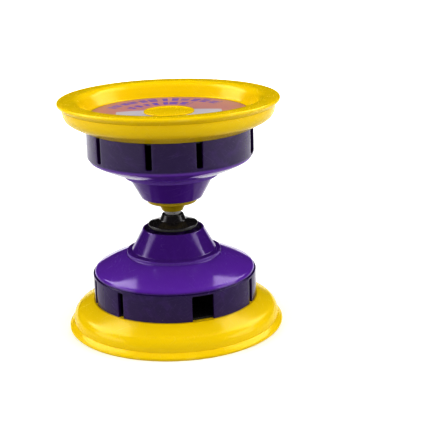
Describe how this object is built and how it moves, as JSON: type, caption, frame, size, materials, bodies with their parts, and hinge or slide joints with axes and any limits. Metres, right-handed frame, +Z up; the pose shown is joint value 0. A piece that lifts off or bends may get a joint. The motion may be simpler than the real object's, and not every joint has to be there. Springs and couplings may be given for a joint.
{
  "type": "diabolo",
  "caption": "Free-spinning juggling diabolo: two slotted whistle cups with wide dished heads, clamped on an axle with bearing hubs and a turning string sleeve.",
  "frame": {"origin": "middle of the flat lip face of the lower cup, on the axle line", "axes": "+Z up along the axle from the lower cup to the upper cup; -Y is the side seen with the lower wide window to the right of the middle"},
  "size_m": [0.13, 0.13, 0.1386],
  "materials": {
    "yellow_plastic": "semi-gloss moulded ABS",
    "violet_plastic": "high-gloss moulded ABS",
    "black_plastic": "high-gloss moulded ABS",
    "printed_label": "printed and laminated vinyl sticker",
    "sleeve_steel": "turned, worn smooth by the string",
    "bearing_steel": "ground bearing steel",
    "zinc_steel": "bright zinc plating",
    "cage_brass": "pressed brass"
  },
  "bodies": {
    "cups": {"lower_dish_cover": "yellow_plastic", "lower_head_bowl": "yellow_plastic", "lower_snap_cap": "yellow_plastic", "lower_shell": "violet_plastic", "lower_chamber_core": "black_plastic", "lower_label": "printed_label", "lower_washer": "zinc_steel", "lower_hub_spacer": "zinc_steel", "lower_inner_spacer": "zinc_steel", "upper_dish_cover": "yellow_plastic", "upper_head_bowl": "yellow_plastic", "upper_snap_cap": "yellow_plastic", "upper_shell": "violet_plastic", "upper_chamber_core": "black_plastic", "upper_label": "printed_label", "upper_washer": "zinc_steel", "upper_hub_spacer": "zinc_steel", "upper_inner_spacer": "zinc_steel", "axle_bolt": "zinc_steel", "lock_nut": "zinc_steel", "lower_hub_bearing_inner_ring": "bearing_steel", "upper_hub_bearing_inner_ring": "bearing_steel", "sleeve_bearing_1_inner_ring": "bearing_steel", "sleeve_bearing_2_inner_ring": "bearing_steel", "sleeve_bearing_3_inner_ring": "bearing_steel"},
    "sleeve": {"string_sleeve": "sleeve_steel", "sleeve_bearing_1_outer_ring": "bearing_steel", "sleeve_bearing_1_shields": "bearing_steel", "sleeve_bearing_2_outer_ring": "bearing_steel", "sleeve_bearing_2_shields": "bearing_steel", "sleeve_bearing_3_outer_ring": "bearing_steel", "sleeve_bearing_3_shields": "bearing_steel"},
    "sleeve_ball_sets": {"sleeve_bearing_1_balls": "bearing_steel", "sleeve_bearing_1_cage": "cage_brass", "sleeve_bearing_2_balls": "bearing_steel", "sleeve_bearing_2_cage": "cage_brass", "sleeve_bearing_3_balls": "bearing_steel", "sleeve_bearing_3_cage": "cage_brass"},
    "lower_hub": {"lower_hub_cover": "black_plastic", "lower_hub_bearing_outer_ring": "bearing_steel", "lower_hub_bearing_shields": "bearing_steel"},
    "lower_hub_ball_set": {"lower_hub_bearing_balls": "bearing_steel", "lower_hub_bearing_cage": "cage_brass"},
    "upper_hub": {"upper_hub_cover": "yellow_plastic", "upper_hub_bearing_outer_ring": "bearing_steel", "upper_hub_bearing_shields": "bearing_steel"},
    "upper_hub_ball_set": {"upper_hub_bearing_balls": "bearing_steel", "upper_hub_bearing_cage": "cage_brass"}
  },
  "joints": [
    {"name": "sleeve_spin", "type": "hinge", "parent": "cups", "child": "sleeve", "pos_m": [0, 0, 0.0693], "axis": [0, 0, 1], "continuous": true},
    {"name": "lower_hub_spin", "type": "hinge", "parent": "cups", "child": "lower_hub", "pos_m": [0, 0, 0.0623], "axis": [0, 0, 1], "continuous": true},
    {"name": "upper_hub_spin", "type": "hinge", "parent": "cups", "child": "upper_hub", "pos_m": [0, 0, 0.0763], "axis": [0, 0, 1], "continuous": true},
    {"name": "sleeve_balls_spin", "type": "hinge", "parent": "cups", "child": "sleeve_ball_sets", "pos_m": [0, 0, 0.0693], "axis": [0, 0, 1], "continuous": true},
    {"name": "lower_hub_balls_spin", "type": "hinge", "parent": "cups", "child": "lower_hub_ball_set", "pos_m": [0, 0, 0.0623], "axis": [0, 0, 1], "continuous": true},
    {"name": "upper_hub_balls_spin", "type": "hinge", "parent": "cups", "child": "upper_hub_ball_set", "pos_m": [0, 0, 0.0763], "axis": [0, 0, 1], "continuous": true}
  ],
  "couplings": [
    {"joint": "sleeve_balls_spin", "follows": "sleeve_spin", "ratio": 0.56923},
    {"joint": "lower_hub_balls_spin", "follows": "lower_hub_spin", "ratio": 0.60556},
    {"joint": "upper_hub_balls_spin", "follows": "upper_hub_spin", "ratio": 0.60556}
  ]
}
